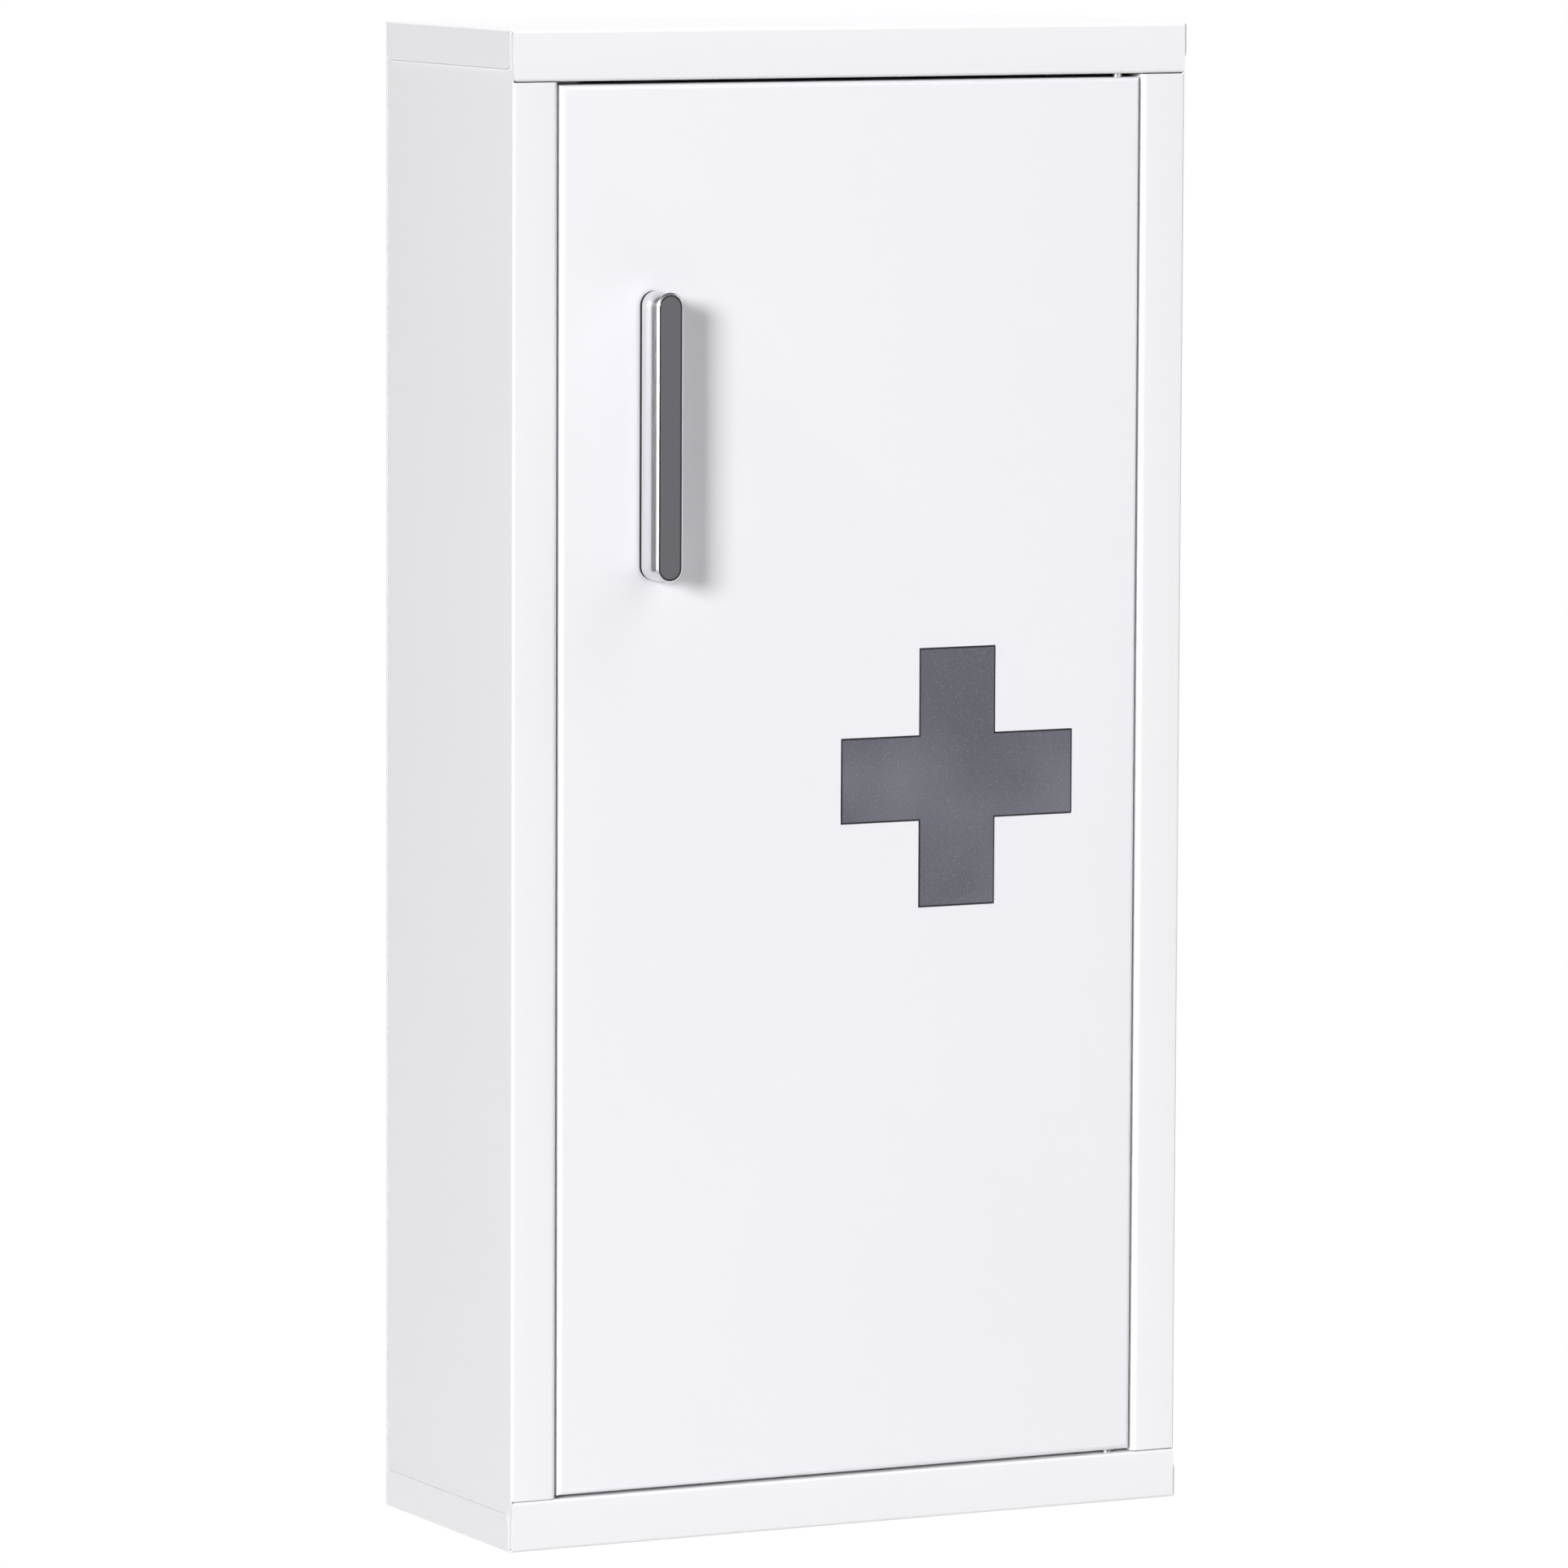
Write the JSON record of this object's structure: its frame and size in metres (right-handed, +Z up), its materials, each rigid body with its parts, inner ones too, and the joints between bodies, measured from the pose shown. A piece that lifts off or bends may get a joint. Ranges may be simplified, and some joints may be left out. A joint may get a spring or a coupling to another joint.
{
  "type": "wall medicine cabinet",
  "caption": "Shallow white steel wall cabinet with inner shelves, an inset pivot-hinged door, a bar handle and a grey cross-shaped window.",
  "frame": {"origin": "middle of the back face, on the wall", "axes": "+X to the right seen from the front, +Y into the wall, +Z up; the door faces -Y"},
  "size_m": [0.3, 0.136, 0.6],
  "materials": {
    "case_enamel": "white powder coat, semi-gloss",
    "door_enamel": "white powder coat, semi-gloss",
    "zinc_steel": "zinc plated",
    "bright_steel": "turned and polished",
    "handle_chrome": "polished",
    "dark_inlay": "satin, dark anodised",
    "catch_plastic": "moulded",
    "magnet_ferrite": "ground ferrite",
    "hinge_nylon": "natural nylon",
    "smoke_acrylic": "satin smoke grey",
    "black_rubber": "matte",
    "bumper_rubber": "translucent grey"
  },
  "bodies": {
    "case": {"top_cap": "case_enamel", "bottom_pan": "case_enamel", "left_side_panel": "case_enamel", "right_side_panel": "case_enamel", "back_panel": "case_enamel", "upper_shelf": "case_enamel", "lower_shelf": "case_enamel", "shelf_rails": "case_enamel", "upper_hinge_pin": "bright_steel", "lower_hinge_pin": "bright_steel", "catch_housing": "catch_plastic", "catch_magnet": "magnet_ferrite", "catch_pole_plates": "zinc_steel", "catch_screws": "zinc_steel"},
    "door": {"door_panel": "door_enamel", "upper_hinge_block": "hinge_nylon", "lower_hinge_block": "hinge_nylon", "cross_pane": "smoke_acrylic", "pane_studs": "zinc_steel", "pane_strips": "zinc_steel", "pane_nuts": "zinc_steel", "handle_bar": "handle_chrome", "handle_inlay": "dark_inlay", "handle_gasket": "black_rubber", "handle_backing_plate": "zinc_steel", "handle_screws": "zinc_steel", "door_bumpers": "bumper_rubber"}
  },
  "joints": [
    {"name": "door_hinge", "type": "hinge", "parent": "case", "child": "door", "pos_m": [0.12005, -0.1155, 0], "axis": [0, 0, 1], "range_deg": [0, 130]}
  ]
}
